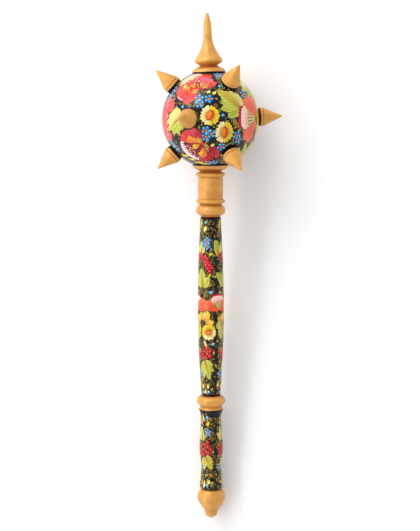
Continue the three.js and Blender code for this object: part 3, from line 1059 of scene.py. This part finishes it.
def shaft_garland(sheet, azimuth):
    """One of the three garlands that run down the shaft."""
    spot = garland_spots(sheet, azimuth)

    # the small sprays below the neck
    petal(sheet, spot(-5.5, -129), (0, -7), (0, 6), 2.4, (GOLDEN, YELLOW), bend=0.1)
    petal(sheet, spot(-8.5, -134), (0, -6), (0, 6), 2.2, (OCHRE, GOLDEN), bend=0.1)
    dot(sheet, spot(1.6, -127.8), (0, 0), 1.7, (SKY, BLUE))
    petal(sheet, spot(3.8, -126), (0, -2), (0, 2), 1.6, (ORANGE, OCHRE))
    bud(sheet, spot(1, -136, turn=-8, size=1.35))
    # forget-me-nots and a toothed leaf beside them
    broad_leaf(sheet, spot(-3.8, -166, turn=2), [
        (120, 10, 0.9, (PALE_SIDE, PALE_SIDE)),
        (60, 9, 0.8, (OLIVE_SIDE, PALE_SIDE)),
        (92, 15, 1.0, (PALE_SIDE, LIME_SIDE)),
    ], 8, teeth=5)
    broad_leaf(sheet, spot(-11, -170, turn=12), [(92, 22, 1.0, (LIME_SIDE, LIME_SIDE))], 9, teeth=6)
    forget_me_not(sheet, spot(5, -150.4), 90, radius=3.1, petal_radius=1.75)
    forget_me_not(sheet, spot(4.6, -157), 55, radius=3.1, petal_radius=1.75)
    forget_me_not(sheet, spot(0.6, -153.4), 20, radius=2.8, petal_radius=1.6)
    bud(sheet, spot(9, -167, turn=-35, size=0.9), colours=(LIME, GOLDEN))
    stem(sheet, spot(11, -172), (0, 0), (-1, 9), -0.4)
    # red berries
    berries(sheet, spot(0, -176), [
        (-10, 8), (-6, 9), (-8, 4), (-3.5, 6), (-1, 3), (2.5, 6), (5, 3), (1.5, -0.5), (6, -1.5),
        (3.4, -4.6), (8, -5), (10.6, -8.2), (6.2, -9), (8, -12.5),
    ], 2.7)
    # green leaf over its yellow-green neighbour
    broad_leaf(sheet, spot(-1, -206, turn=4), [
        (150, 12, 0.9, (LIME_SIDE, LIME_SIDE)),
        (128, 22, 1.0, (LIME_SIDE, LIME_SIDE)),
        (20, 10, 0.9, (PALE_SIDE, LIME_SIDE)),
        (48, 14, 0.9, (PALE_SIDE, LIME_SIDE)),
        (92, 22, 1.1, (LIME_SIDE, LIME_SIDE)),
    ], 10, teeth=6)
    petal(sheet, spot(4, -196), (0, 0), (5, 5), 2.6, (OLIVE, YELLOW), bend=-0.2)
    commas(sheet, spot(12.5, -197, turn=-20), 2, 4, (LIME, CREAM))
    # poppy
    side_poppy(sheet, spot(-12.5, -238, turn=-84, size=0.6))
    dot(sheet, spot(9.6, -214.3), (0, 0), 2.1, (SKY, BLUE))
    commas(sheet, spot(12, -224, turn=-30), 3, 4.5, (OLIVE, LIME))
    commas(sheet, spot(11, -207, turn=-10), 2, 4, (OLIVE, OLIVE))
    # yellow bells below the poppy
    for across, place, turn, size in ((1.5, -243, 10, 0.95), (7.5, -251, -35, 0.7), (-8.5, -247, 30, 0.8)):
        bell = spot(across, place, turn=turn, size=size)
        petal(sheet, bell, (0, -8), (-3.6, 5.5), 6.5, (OCHRE, GOLDEN), bend=0.25, steps=7)
        petal(sheet, bell, (0, -8), (3.8, 5.2), 6, (ORANGE, YELLOW), bend=-0.3, steps=7)
        petal(sheet, bell, (0, -7), (0.5, 4.5), 3, (SALMON, CREAM), steps=5)
    # daisy with its leaves
    broad_leaf(sheet, spot(-9, -250, turn=180), [
        (60, 12, 0.8, (LIME_SIDE, LIME_SIDE)),
        (92, 24, 1.0, (LIME_SIDE, PALE_SIDE)),
    ], 10, teeth=6)
    daisy(sheet, spot(6.6, -264.5, stretch=0.92), 10, petals=20, light_side=-60, eye_turn=15, eye=0.45)
    dot(sheet, spot(11.8, -279.5), (0, 0), 2.1, (SKY, BLUE))
    petal(sheet, spot(1, -279), (-1, 4), (2, -5), 3, (CREAM, ORANGE), bend=0.2)
    commas(sheet, spot(-6, -282, turn=160), 4, 8, (OLIVE, OCHRE), fan=50)
    # second cluster of berries
    berries(sheet, spot(1, -291), [
        (-12, 2), (-9, -2), (-5.5, 1), (-2.5, -3), (-7, -6), (0, 2), (3, 6), (4, -1), (1.2, -6),
        (7.5, 2.4), (7, -4),
    ], 2.8)
    petal(sheet, spot(12.5, -291), (0, -2.5), (0.5, 2.5), 2, (OCHRE, YELLOW))
    # big toothed leaf
    broad_leaf(sheet, spot(1, -301, turn=0), [
        (330, 12, 0.9, (LIME_SIDE, OLIVE_SIDE)),
        (242, 16, 0.8, (PALE_SIDE, LIME_SIDE)),
        (310, 18, 0.9, (LIME_SIDE, OLIVE_SIDE)),
        (262, 22, 0.9, (PALE_SIDE, LIME_SIDE)),
        (286, 25, 1.0, (LIME_SIDE, LIME_SIDE)),
    ], 9, teeth=6)
    commas(sheet, spot(13.5, -309, turn=-50), 3, 4.5, (OLIVE, LIME))
    forget_me_not(sheet, spot(-8, -318), 30, radius=3.1, petal_radius=1.75)
    petal(sheet, spot(-4.5, -325), (-1, -3), (1, 3), 2.6, (ORANGE, OCHRE))
    # pale buds at the foot
    for across, place, turn in ((-4, -333.5, 200), (4.6, -333, 205), (0, -340, 180), (-11, -331, 170)):
        bud(sheet, spot(across, place, turn=turn, size=1.1))
    dot(sheet, spot(5.6, -340.6), (0, 0), 1.9, (SKY, BLUE))
    dot(sheet, spot(-5.6, -341.5), (0, 0), 1.6, (SKY, BLUE))
    commas(sheet, spot(8.5, -336, turn=-120), 3, 4, (OCHRE, GOLDEN))


def grip_garland(sheet, azimuth):
    """One of the grip's three garlands."""
    spot = garland_spots(sheet, azimuth)

    petal(sheet, spot(-3, -373), (-1, 5), (1, -5.5), 2.6, (GOLDEN, CREAM))
    petal(sheet, spot(-6.5, -377), (0, 5), (0.5, -6), 2.2, (OCHRE, YELLOW))
    petal(sheet, spot(1.4, -369), (-1, 0), (1.4, 0), 1.8, (ORANGE, HOT_ORANGE))
    dot(sheet, spot(3, -373), (0, 0), 1.9, (SKY, BLUE), squash=1.2)
    petal(sheet, spot(6, -373.5), (-1, 0.5), (1.6, -1), 1.5, (ORANGE, OCHRE))
    bud(sheet, spot(4.2, -380.5, turn=-170, size=1.15), colours=(YELLOW, GOLDEN))
    forget_me_not(sheet, spot(4.4, -392.5), 20, radius=3.2, petal_radius=1.85)
    broad_leaf(sheet, spot(-4, -402, turn=4), [
        (130, 12, 0.9, (PALE_SIDE, PALE_SIDE)),
        (55, 8, 0.8, (OLIVE_SIDE, LIME_SIDE)),
        (95, 18, 1.0, (PALE_SIDE, LIME_SIDE)),
    ], 8, teeth=6)
    commas(sheet, spot(8, -401, turn=-40), 2, 4, (OLIVE, OCHRE))
    berries(sheet, spot(0, -412), [
        (-11, -1), (-8, 3), (-4.5, 1), (-9, -6), (-5, -5), (-1, -2.5), (1, 4), (4.6, 7), (5, 1.5),
        (8, -1.5), (2.4, -4.5), (5.5, -6.5), (-1.5, -9), (-5, -10),
    ], 2.6)
    petal(sheet, spot(10.6, -417), (-1.2, 0), (1.4, 0.6), 2, (OCHRE, YELLOW))
    broad_leaf(sheet, spot(1, -424, turn=0), [
        (350, 8, 0.9, (OLIVE_SIDE, OLIVE_SIDE)),
        (232, 14, 0.8, (PALE_SIDE, LIME_SIDE)),
        (325, 12, 0.9, (OLIVE_SIDE, OLIVE_SIDE)),
        (255, 17, 0.9, (PALE_SIDE, LIME_SIDE)),
        (300, 18, 1.0, (LIME_SIDE, OLIVE_SIDE)),
    ], 9, teeth=5)
    petal(sheet, spot(7.4, -446), (-1.6, 2.2), (1.6, -2.4), 1.7, (OCHRE, ORANGE))
    forget_me_not(sheet, spot(-8.5, -437), 40, radius=2.9, petal_radius=1.6)
    commas(sheet, spot(1.5, -444, turn=190), 3, 4.5, (OLIVE, LIME))
    bud(sheet, spot(5, -455, turn=215, size=1.1))
    petal(sheet, spot(-0.8, -458), (0, 5), (-0.4, -5), 2.8, (YELLOW, CREAM))
    petal(sheet, spot(-4.4, -455), (0, 4), (-0.4, -4), 2.2, (OCHRE, GOLDEN))
    dot(sheet, spot(3.4, -459.5), (0, 0), 1.8, (SKY, BLUE), squash=1.25)
    commas(sheet, spot(8.4, -454, turn=-150), 3, 4, (OLIVE, YELLOW))


def spray_places(sheet, azimuth):
    """Places for small sprays in staggered rows on a garland's ground: azimuth and place along the axis."""
    foot = sheet.rail[0][1] + HANDLE_END_ROOM
    rows = round((sheet.rail[-1][1] - HANDLE_END_ROOM - foot) / SPRAY_ROW_GAP)
    for row in range(rows):
        for column in range(SPRAY_COLUMNS):
            steps = column - SPRAY_COLUMNS // 2 + 0.5 * (row % 2)
            across = GARLAND_HALF_WIDTH * steps / COLUMNS_PER_HALF_WIDTH - SPRAY_SHIFT
            yield azimuth + math.degrees(across / sheet.paper_radius), foot + SPRAY_ROW_GAP * row


def painted_handle(name, outline, paper_radius, garland, lacquer, node):
    """A part of the handle with its three garlands on a ground of small sprays."""
    sheet = HandleSheet(outline, paper_radius)
    filling = HandleSheet(outline, paper_radius)

    def small_spot(around, place, turn, size):
        return spot_on(filling, around, place, turn, size * HANDLE_SPRAY_SIZE)

    for azimuth in GARLAND_AZIMUTHS:
        garland(sheet, azimuth)
        sprinkle(filling, spray_places(sheet, azimuth), small_spot)
    sheet.marks = filling.marks + sheet.marks
    return painted_piece(name, sheet, lacquer, node)


# ---------------------------------------------------------------- outlines of the turned pieces

def seat(radius):
    """The hollow by which a piece sits on the ball, from the axis out to a radius."""
    return [(0, SEAT_RADIUS), (radius / 2, SEAT_RADIUS, radius, seat_edge(radius))]


def seat_edge(radius):
    return math.sqrt(SEAT_RADIUS ** 2 - radius ** 2)


# A corner is (radius, place along the axis). A curve is (control radius, control place, radius, place).
FINIAL = seat(COLLAR_RADIUS) + [
    (COLLAR_RADIUS, 57.9), (19.8, 62, 13.3, 63.7), (10.5, 65.4), (17.3, 69.9), (17.2, 71.7),
    (16.2, 74.6, 14.1, 77.2), (6.3, 89.4, 5.5, 99.5), (4.9, 116.2), (3.4, 123.5), (1.9, 128.9),
    (1, 129.8), (0, 130),
]
NECK = [
    (0, NECK_FOOT), (11.8, NECK_FOOT), (12, -119.5), (18.4, -118.2, 18.4, -112.4),
    (18.4, -109.6, 13.2, -105.8), (18.1, -103.4, 18.2, -101.6), (17.6, -99.6, 15.2, -98.6),
    (15.5, -97.4), (15.7, -86), (15.5, -74), (14.7, -71.8), (18, -70.8, 18.3, -68),
    (17.6, -66, 12.6, -65.2), (15.4, -62.6), (20.6, -61.8, NECK_TOP_RADIUS, -58),
    (NECK_TOP_RADIUS, -seat_edge(NECK_TOP_RADIUS)), (NECK_TOP_RADIUS / 2, -SEAT_RADIUS, 0, -SEAT_RADIUS),
]
SHAFT = [
    (0, SHAFT_FOOT), (11.9, SHAFT_FOOT), (12.9, -330, 14.1, -311), (16.5, -270, 16.4, -238),
    (16.3, -190, 14.6, -158), (13.4, -136, 12.7, NECK_FOOT - JOINT), (0, NECK_FOOT - JOINT),
]
RING = [
    (0, RING_FOOT), (15.4, RING_FOOT), (12.8, -360.6), (16, -357.6), (18.2, -355.6, 17.9, -352.6),
    (17.5, -349, 12.6, SHAFT_FOOT - JOINT), (0, SHAFT_FOOT - JOINT),
]
GRIP = [
    (0, GRIP_FOOT), (12.2, GRIP_FOOT), (14.5, -464.6), (14.7, -462.6), (12.3, -448, 12.7, -437),
    (13.2, -427, 14.5, -419), (15.2, -412, 14.2, -400), (13.2, -388, 12.8, -378),
    (12.9, -370.5, 14.2, -367), (15.5, RING_FOOT - JOINT), (0, RING_FOOT - JOINT),
]
POMMEL = [
    (0, -504.9), (4.4, -502.6), (6.8, -501.2), (8, -498.5, 8, -496.2), (9.2, -492.6),
    (17, -485, 17.5, -476.6), (17, -470, 11.8, GRIP_FOOT - JOINT), (0, GRIP_FOOT - JOINT),
]
SPIKE = seat(SPIKE_FOOT_RADIUS) + [
    (11.7, 62.6), (11.4, 64.6), (10.2, 65.1), (11.5, 65.9), (0.9, 88.96), (0, 89.5),
]


def outline_points(outline, steps):
    """The corners of an outline, with each curve in so many steps."""
    points = [outline[0]]
    for part in outline[1:]:
        if len(part) == 2:
            points.append(part)
            continue
        start = points[-1]
        control, end = part[:2], part[2:]
        for step in range(1, steps + 1):
            t = step / steps
            points.append(tuple(
                a * (1 - t) ** 2 + b * 2 * t * (1 - t) + c * t * t for a, b, c in zip(start, control, end)
            ))
    return points


# ---------------------------------------------------------------- turning the gold pieces

def only(piece):
    """Makes a piece the one thing selected."""
    bpy.ops.object.select_all(action="DESELECT")
    piece.select_set(True)
    bpy.context.view_layer.objects.active = piece


def turned(name, outline, facets=96, steps=9, rounding=0.25):
    """Draws an outline in the mace's XY plane and spins it about the axis, like wood on a lathe."""
    points = outline_points(outline, steps)
    bpy.ops.object.select_all(action="DESELECT")
    bpy.ops.mesh.primitive_plane_add(size=1, location=(0, 0, 0))
    piece = bpy.context.object
    piece.name = name
    piece.data.name = name
    bpy.ops.object.mode_set(mode="EDIT")
    bpy.ops.mesh.merge(type="CENTER")
    bpy.ops.transform.translate(value=(*points[0], 0))
    for (r0, s0), (r1, s1) in zip(points, points[1:]):
        bpy.ops.mesh.extrude_vertices_move(TRANSFORM_OT_translate={"value": (r1 - r0, s1 - s0, 0)})
    bpy.ops.mesh.select_all(action="SELECT")
    bpy.ops.mesh.spin(steps=facets, angle=2 * math.pi, center=(0, 0, 0), axis=(0, 1, 0))
    bpy.ops.mesh.select_all(action="SELECT")
    bpy.ops.mesh.remove_doubles(threshold=0.001)
    bpy.ops.mesh.normals_make_consistent(inside=False)
    bpy.ops.object.mode_set(mode="OBJECT")
    soften = piece.modifiers.new("softened edges", "BEVEL")
    soften.limit_method = "ANGLE"
    soften.angle_limit = math.radians(24)
    soften.width = rounding
    soften.segments = 2
    bpy.ops.object.modifier_apply(modifier=soften.name)
    bpy.ops.object.shade_smooth_by_angle(angle=math.radians(40))
    return piece


def note_groove_shade(piece, outline, steps=9):
    """Stores at each vertex how deep it lies between its neighbours on the outline, from 0 to 1. The gold
    paint is painted darker by this share, as shade in the grooves.
    """
    points = outline_points(outline, steps)
    depths = {}
    groove_shade = piece.data.attributes.new("groove_shade", "FLOAT", "POINT")
    for vertex in piece.data.vertices:
        radius = math.hypot(vertex.co.x, vertex.co.z)
        key = (round(radius, 1), round(vertex.co.y, 1))
        if key not in depths:
            hull = max(r - GROOVE_SHADE_SLOPE * abs(s - vertex.co.y) for r, s in points)
            depths[key] = min(1, max(0, hull - radius) / GROOVE_SHADE_DEPTH)
        groove_shade.data[vertex.index].value = depths[key]


def finish_piece(piece, material, slot, *nodes):
    piece.data.materials.clear()
    piece.data.materials.append(material)
    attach(piece, "root")
    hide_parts(*nodes)


def gold_piece(name, outline, material, node, lean=0):
    piece = turned(name, outline)
    note_groove_shade(piece, outline)
    piece.data.transform(LYING @ Matrix.Rotation(math.radians(lean), 4, "Z"))
    finish_piece(piece, material, "gold_paint", node)
    return piece


def gold_spikes(material):
    """One spike is turned, then copied into the place of each."""
    pattern = turned("gold_spike", SPIKE, facets=64)
    note_groove_shade(pattern, SPIKE)
    for node, direction in spike_directions().items():
        piece = pattern.copy()
        piece.data = pattern.data.copy()
        piece.name = node.replace("spike", "gold_spike")
        piece.data.name = piece.name
        bpy.context.collection.objects.link(piece)
        turn = Vector((0, 1, 0)).rotation_difference(direction).to_matrix().to_4x4()
        piece.data.transform(LYING @ turn)
        finish_piece(piece, material, "gold_paint", node)
    bpy.data.objects.remove(pattern)


# ---------------------------------------------------------------- materials

class Nodes:
    """A short way to add nodes to a tree and link them."""

    def __init__(self, tree):
        self.tree = tree

    def add(self, kind, **settings):
        node = self.tree.nodes.new(kind)
        for key, value in settings.items():
            setattr(node, key, value)
        return node

    def link(self, source, target):
        self.tree.links.new(source, target)

    def math(self, operation, *values):
        """A sum of up to three numbers or sockets."""
        node = self.add("ShaderNodeMath", operation=operation)
        for socket, value in zip(node.inputs, values):
            if isinstance(value, (int, float)):
                socket.default_value = value
            else:
                self.link(value, socket)
        return node.outputs[0]

    def mix(self, share, first, second):
        """A share of the second colour over the first. Sockets 6, 7 and 2 are a mix's colours."""
        node = self.add("ShaderNodeMix", data_type="RGBA")
        for socket, value in ((node.inputs[0], share), (node.inputs[6], first), (node.inputs[7], second)):
            if isinstance(value, (int, float)):
                socket.default_value = value
            elif isinstance(value, tuple):
                socket.default_value = (*value[:3], 1)
            else:
                self.link(value, socket)
        return node.outputs[2]

    def steps(self, value, low, high):
        """A value's place between low and high, from 0 to 1."""
        node = self.add("ShaderNodeMapRange", clamp=True)
        self.link(value, node.inputs["Value"])
        node.inputs["From Min"].default_value = low
        node.inputs["From Max"].default_value = high
        return node.outputs["Result"]


def new_group(name, inputs, outputs):
    """A shader group with named sockets: inputs are (name, kind, value), outputs (name, kind)."""
    tree = bpy.data.node_groups.new(name, "ShaderNodeTree")
    for title, kind, value in inputs:
        socket = tree.interface.new_socket(title, in_out="INPUT", socket_type=kind)
        if value is not None:
            socket.default_value = value
    for title, kind in outputs:
        tree.interface.new_socket(title, in_out="OUTPUT", socket_type=kind)
    nodes = Nodes(tree)
    return nodes, nodes.add("NodeGroupInput").outputs, nodes.add("NodeGroupOutput").inputs


def brushed_on_group():
    """Paint brushed round a turning piece: fine rings and long soft patches, and how far each stands."""
    nodes, given, made = new_group("Brushed on", [
        ("Position", "NodeSocketVector", None),
        ("Along", "NodeSocketFloat", 0.0),
        ("Ring Spacing", "NodeSocketFloat", 0.6),
    ], [("Rings", "NodeSocketFloat"), ("Patches", "NodeSocketFloat")])
    turns = nodes.math("DIVIDE", given["Along"], given["Ring Spacing"])
    rings = nodes.add("ShaderNodeTexNoise", noise_dimensions="1D")
    nodes.link(turns, rings.inputs["W"])
    rings.inputs["Scale"].default_value = 1.0
    rings.inputs["Detail"].default_value = 2.0
    patches = nodes.add("ShaderNodeTexNoise")
    nodes.link(given["Position"], patches.inputs["Vector"])
    patches.inputs["Scale"].default_value = 0.09
    patches.inputs["Detail"].default_value = 3.0
    nodes.link(rings.outputs["Fac"], made["Rings"])
    nodes.link(patches.outputs["Fac"], made["Patches"])
    return nodes.tree


def lacquer_skin_group():
    """The fine unevenness of a brushed varnish."""
    nodes, given, made = new_group("Varnish", [
        ("Position", "NodeSocketVector", None),
        ("Grain Size", "NodeSocketFloat", 1.0),
    ], [("Height", "NodeSocketFloat"), ("Cloud", "NodeSocketFloat")])
    ripple = nodes.add("ShaderNodeTexNoise")
    nodes.link(given["Position"], ripple.inputs["Vector"])
    nodes.link(nodes.math("DIVIDE", 0.35, given["Grain Size"]), ripple.inputs["Scale"])
    ripple.inputs["Detail"].default_value = 1.0
    cloud = nodes.add("ShaderNodeTexNoise")
    nodes.link(given["Position"], cloud.inputs["Vector"])
    cloud.inputs["Scale"].default_value = 0.05
    nodes.link(ripple.outputs["Fac"], made["Height"])
    nodes.link(cloud.outputs["Fac"], made["Cloud"])
    return nodes.tree


BRUSHED_ON = brushed_on_group()
VARNISH = lacquer_skin_group()


def mace_position(nodes):
    """The place on the mace in its own frame, in millimetres."""
    coordinates = nodes.add("ShaderNodeTexCoord")
    shift = nodes.add("ShaderNodeMapping")
    shift.inputs["Location"].default_value = tuple(-BALL_CENTRE)
    nodes.link(coordinates.outputs["Object"], shift.inputs["Vector"])
    turn = nodes.add("ShaderNodeMapping")
    turn.inputs["Rotation"].default_value = LYING.to_3x3().normalized().inverted().to_euler("XYZ")
    turn.inputs["Scale"].default_value = (1000, 1000, 1000)
    nodes.link(shift.outputs["Vector"], turn.inputs["Vector"])
    return turn.outputs["Vector"]


def new_material(name):
    material = bpy.data.materials.new(name)
    material.use_nodes = True
    nodes = Nodes(material.node_tree)
    return material, nodes, material.node_tree.nodes["Principled BSDF"]


def gold_paint(name, black_reach, by_distance):
    """Satin gold paint, painted darker in its grooves as shade. Black paint covers what is nearer to the
    ball's middle than black_reach.
    The turning rings follow the distance from the ball's middle on a spike, and the axis elsewhere."""
    material, nodes, shader = new_material(name)
    position = mace_position(nodes)
    distance = nodes.add("ShaderNodeVectorMath", operation="LENGTH")
    nodes.link(position, distance.inputs[0])
    split = nodes.add("ShaderNodeSeparateXYZ")
    nodes.link(position, split.inputs[0])
    brushed = nodes.add("ShaderNodeGroup", node_tree=BRUSHED_ON)
    nodes.link(position, brushed.inputs["Position"])
    nodes.link(distance.outputs["Value"] if by_distance else split.outputs["Y"], brushed.inputs["Along"])
    tone = nodes.mix(nodes.steps(brushed.outputs["Patches"], 0.35, 0.65), GOLD_SHADOW, GOLD_LIGHT)
    rings = nodes.math("MULTIPLY", nodes.steps(brushed.outputs["Rings"], 0.3, 0.7), 0.22)
    tone = nodes.mix(rings, tone, GOLD_DEEP)
    # painted shade: the gold turns darker in the grooves, by how deep each place lies
    groove_shade = nodes.add("ShaderNodeAttribute", attribute_name="groove_shade")
    tone = nodes.mix(nodes.math("MULTIPLY", groove_shade.outputs["Fac"], 0.8), tone, GOLD_GROOVE_SHADE)
    black = nodes.steps(distance.outputs["Value"], black_reach + BLACK_EDGE, black_reach - BLACK_EDGE)
    nodes.link(nodes.mix(black, tone, BLACK), shader.inputs["Base Color"])
    nodes.link(nodes.math("MULTIPLY", nodes.math("SUBTRACT", 1, black), 0.2), shader.inputs["Metallic"])
    rough = nodes.math("ADD", nodes.math("MULTIPLY", brushed.outputs["Patches"], 0.16), 0.34)
    nodes.link(rough, shader.inputs["Roughness"])
    bump = nodes.add("ShaderNodeBump")
    bump.inputs["Strength"].default_value = 0.12
    bump.inputs["Distance"].default_value = 0.0003
    nodes.link(brushed.outputs["Rings"], bump.inputs["Height"])
    nodes.link(bump.outputs["Normal"], shader.inputs["Normal"])
    return material


def painted_lacquer():
    """The painting under its varnish."""
    material, nodes, shader = new_material("painted lacquer")
    painting = nodes.add("ShaderNodeAttribute", attribute_name="painting")
    position = mace_position(nodes)
    skin = nodes.add("ShaderNodeGroup", node_tree=VARNISH)
    nodes.link(position, skin.inputs["Position"])
    nodes.link(painting.outputs["Color"], shader.inputs["Base Color"])
    rough = nodes.math("ADD", nodes.math("MULTIPLY", skin.outputs["Cloud"], 0.18), 0.2)
    nodes.link(rough, shader.inputs["Roughness"])
    shader.inputs["Coat Weight"].default_value = 0.12
    shader.inputs["Specular IOR Level"].default_value = 0.22
    shader.inputs["Coat Roughness"].default_value = 0.1
    bump = nodes.add("ShaderNodeBump")
    bump.inputs["Strength"].default_value = 0.08
    bump.inputs["Distance"].default_value = 0.0004
    nodes.link(skin.outputs["Height"], bump.inputs["Height"])
    nodes.link(bump.outputs["Normal"], shader.inputs["Normal"])
    return material


def floor_material():
    material, nodes, shader = new_material("pale floor")
    shader.inputs["Base Color"].default_value = (0.93, 0.93, 0.93, 1)
    shader.inputs["Roughness"].default_value = 0.9
    return material


# ---------------------------------------------------------------- the pieces

gold_turned = gold_paint("gold paint", COLLAR_BLACK_REACH, by_distance=False)
gold_spiked = gold_paint("gold paint of the spikes", SPIKE_BLACK_REACH, by_distance=True)
lacquer = painted_lacquer()

gold_piece("gold_finial", FINIAL, gold_turned, "top_finial", lean=SPIRE_LEAN)
gold_piece("gold_neck", NECK, gold_turned, "neck_collar")
gold_piece("gold_ring", RING, gold_turned, "grip_ring")
gold_piece("gold_pommel", POMMEL, gold_turned, "pommel")
gold_spikes(gold_spiked)

painted_ball(lacquer)

painted_handle("painted_shaft", SHAFT, SHAFT_PAPER_RADIUS, shaft_garland, lacquer, "handle_shaft")
painted_handle("painted_grip", GRIP, GRIP_PAPER_RADIUS, grip_garland, lacquer, "grip")


# ---------------------------------------------------------------- floor, light and camera

def lay_floor():
    bpy.ops.object.select_all(action="DESELECT")
    bpy.ops.mesh.primitive_plane_add(size=12, location=(0, 0, 0))
    floor = bpy.context.object
    floor.name = "floor"
    floor.data.materials.append(floor_material())


def soft_light(name, place, aim, width, height, power):
    """A softbox at a place in the mace's frame, turned to another."""
    lamp = bpy.data.lights.new(name, "AREA")
    lamp.shape = "RECTANGLE"
    lamp.size = width
    lamp.size_y = height
    lamp.energy = power
    light = bpy.data.objects.new(name, lamp)
    bpy.context.collection.objects.link(light)
    light.location = LYING @ Vector(place)
    way = LYING @ Vector(aim) - light.location
    light.rotation_euler = way.to_track_quat("-Z", "Y").to_euler()


def studio_walls():
    """Pale walls under a dimmer ceiling, brighter on the mace's left."""
    world = bpy.data.worlds.new("studio")
    world.use_nodes = True
    nodes = Nodes(world.node_tree)
    way = nodes.add("ShaderNodeSeparateXYZ")
    nodes.link(nodes.add("ShaderNodeTexCoord").outputs["Generated"], way.inputs[0])
    ceiling = nodes.steps(way.outputs["Z"], CEILING_STARTS, CEILING_FULL)
    height = nodes.math("MULTIPLY_ADD", ceiling, CEILING_LIGHT - WALL_LIGHT, WALL_LIGHT)
    side = nodes.math("MULTIPLY_ADD", way.outputs["X"], -LEFT_SHARE, 1)
    background = world.node_tree.nodes["Background"]
    background.inputs["Color"].default_value = (1, 1, 1, 1)
    nodes.link(nodes.math("MULTIPLY", height, side), background.inputs["Strength"])
    return world


def light_room():
    scene = bpy.context.scene
    scene.world = studio_walls()
    scene.view_settings.view_transform = "Standard"
    soft_light("key softbox", *KEY_SOFTBOX)
    soft_light("strip softbox", *STRIP_SOFTBOX)


def place_camera():
    """Looks down on the mace's front, a little from the head's side."""
    pitch = math.radians(CAMERA_PITCH)
    right = Vector((1, 0, 0))
    back = Vector((0, math.sin(pitch), math.cos(pitch)))
    up = back.cross(right)
    turn = Matrix((right, up, back)).transposed().to_4x4()
    lens = bpy.data.cameras.new("camera")
    lens.lens = LENS
    lens.sensor_width = 36
    lens.clip_end = 20
    camera = bpy.data.objects.new("camera", lens)
    bpy.context.collection.objects.link(camera)
    stand = LYING.normalized() @ turn @ Matrix.Rotation(math.radians(CAMERA_ROLL), 4, "Z")
    stand.translation = LYING @ Vector(CAMERA_PLACE)
    camera.matrix_world = stand
    bpy.context.scene.camera = camera


lay_floor()
light_room()
place_camera()
